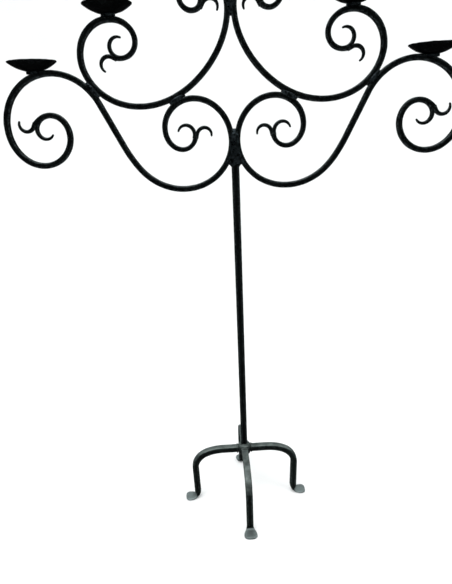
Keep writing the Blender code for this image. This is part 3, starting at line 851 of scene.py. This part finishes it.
for number, where in enumerate(("centre", "upper_left", "upper_right", "outer_left",
                                "outer_right")):
    dishLow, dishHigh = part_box(f"pan_{where}")
    saddleLow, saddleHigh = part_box(f"pan_saddle_{where}")
    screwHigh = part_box(f"pan_screw_{where}")[1]
    x = (dishLow.x + dishHigh.x) / 2
    headLow = screwHigh.z - pan["screwHead"][1]
    name = "".join(part.capitalize() for part in where.split("_"))
    dish = turnedShell(dishProfile(), (x, 0, dishLow.z), pan["dishSides"], pan["dent"],
                       number * 1.9)
    block = roundedBoss(pan["saddleRadius"], saddleLow.z, saddleHigh.z, pan["saddleCorner"])
    boss = turnedShell(block, (x, 0, 0), pan["saddleSides"])
    dome = domedHead(pan["screwHead"][0], headLow, screwHigh.z)
    head = turnedShell(dome, (x, 0, 0), pan["screwSides"])
    makePiece(f"pan{name}", [dish], panIron, [f"pan_{where}"])
    makePiece(f"panSaddle{name}", [boss], weldIron, [f"pan_saddle_{where}"])
    makePiece(f"panScrew{name}", [head], panIron, [f"pan_screw_{where}"])
print("pans made")


studio = {
    "floorRadius": 4.2, "cove": 1.6, "wall": 3.2, "floorSides": 96, "coveRings": 24,
    "floorColour": "#f3f4f4", "floorShade": "#eff1f1", "floorRoughness": 0.9,
    "floorBlotch": 0.4, "floorHole": 0.001, "aimHeight": 0.9,
    "skyStrength": 1.0, "skyColour": "#ffffff",
    "topLight": {"place": (-0.6, -0.9, 3.1), "size": 2.2, "power": 55.0},
    "sideLight": {"place": (2.6, -1.6, 2.2), "size": 1.6, "power": 22.0},
}
view = {
    "place": (-0.0255, -1.275, 1.145), "tilt": 22.36, "yaw": -0.605, "roll": -2.486,
    "lens": 30.83, "sensor": 36.0, "shiftUp": 0.0407, "nearest": 0.05, "farthest": 50,
}


def studioFloor():
    # A round floor that curves up into a wall: a flat run, a quarter circle, then straight up.
    turn = np.linspace(0, pi / 2, studio["coveRings"])[:, None]
    edge, cove = studio["floorRadius"] - studio["cove"], studio["cove"]
    curve = np.concatenate([edge + cove * np.sin(turn), cove - cove * np.cos(turn)], 1)
    profile = np.concatenate([[(studio["floorHole"], 0), (edge / 2, 0)], curve,
                              [(studio["floorRadius"], studio["wall"])]])
    sides = studio["floorSides"]
    angle = 2 * pi * np.arange(sides) / sides
    rings = np.stack([profile[:, :1] * np.cos(angle), profile[:, :1] * np.sin(angle),
                      profile[:, 1:] + 0 * angle], -1)
    index = np.arange(len(profile) * sides).reshape(len(profile), sides)
    faces = gridFaces(index).tolist() + [index[0].tolist()]
    mesh = bpy.data.meshes.new("studioFloor")
    mesh.from_pydata(rings.reshape(-1, 3), [], faces)
    mesh.shade_smooth()
    material, tree, shader, coords = newMaterial("paintedStudioFloor", 0.0)
    grain = noise(tree, coords, studio["floorBlotch"], 2.0)
    colour = blended(tree, ranged(tree, grain, 0.3, 0.7), studio["floorShade"],
                     studio["floorColour"])
    tree.links.new(colour, shader.inputs["Base Color"])
    shader.inputs["Roughness"].default_value = studio["floorRoughness"]
    mesh.materials.append(material)
    floor = bpy.data.objects.new("studioFloor", mesh)
    bpy.context.scene.collection.objects.link(floor)


def softLight(name, place, size, power):
    # A square lamp that looks at the middle of the stand.
    lamp = bpy.data.lights.new(name, "AREA")
    lamp.size, lamp.energy = size, power
    light = bpy.data.objects.new(name, lamp)
    light.location = place
    aim = Vector((0, 0, studio["aimHeight"])) - Vector(place)
    light.rotation_euler = aim.to_track_quat("-Z", "Y").to_euler()
    bpy.context.scene.collection.objects.link(light)


def placeCamera():
    # The camera looks along a heading turned by the yaw and dipped by the tilt, then rolls.
    tilt, yaw, roll = radians(view["tilt"]), radians(view["yaw"]), radians(view["roll"])
    ahead = Vector((sin(yaw) * cos(tilt), cos(yaw) * cos(tilt), -sin(tilt)))
    level = Vector((cos(yaw), -sin(yaw), 0))
    upright = level.cross(ahead)
    right = level * cos(roll) + upright * sin(roll)
    up = upright * cos(roll) - level * sin(roll)
    lens = bpy.data.cameras.new("camera")
    lens.lens, lens.sensor_width, lens.shift_y = view["lens"], view["sensor"], view["shiftUp"]
    lens.clip_start, lens.clip_end = view["nearest"], view["farthest"]
    camera = bpy.data.objects.new("camera", lens)
    turned = Matrix((right, up, -ahead)).transposed().to_4x4()
    camera.matrix_world = Matrix.Translation(view["place"]) @ turned
    bpy.context.scene.collection.objects.link(camera)
    bpy.context.scene.camera = camera


studioFloor()
softLight("topLight", **studio["topLight"])
softLight("sideLight", **studio["sideLight"])
world = bpy.data.worlds.new("studioSky")
world.use_nodes = True
background = world.node_tree.nodes["Background"].inputs
background["Color"].default_value = hexColour(studio["skyColour"])
background["Strength"].default_value = studio["skyStrength"]
bpy.context.scene.world = world
bpy.context.scene.view_settings.view_transform = "Standard"
placeCamera()
print("studio made")
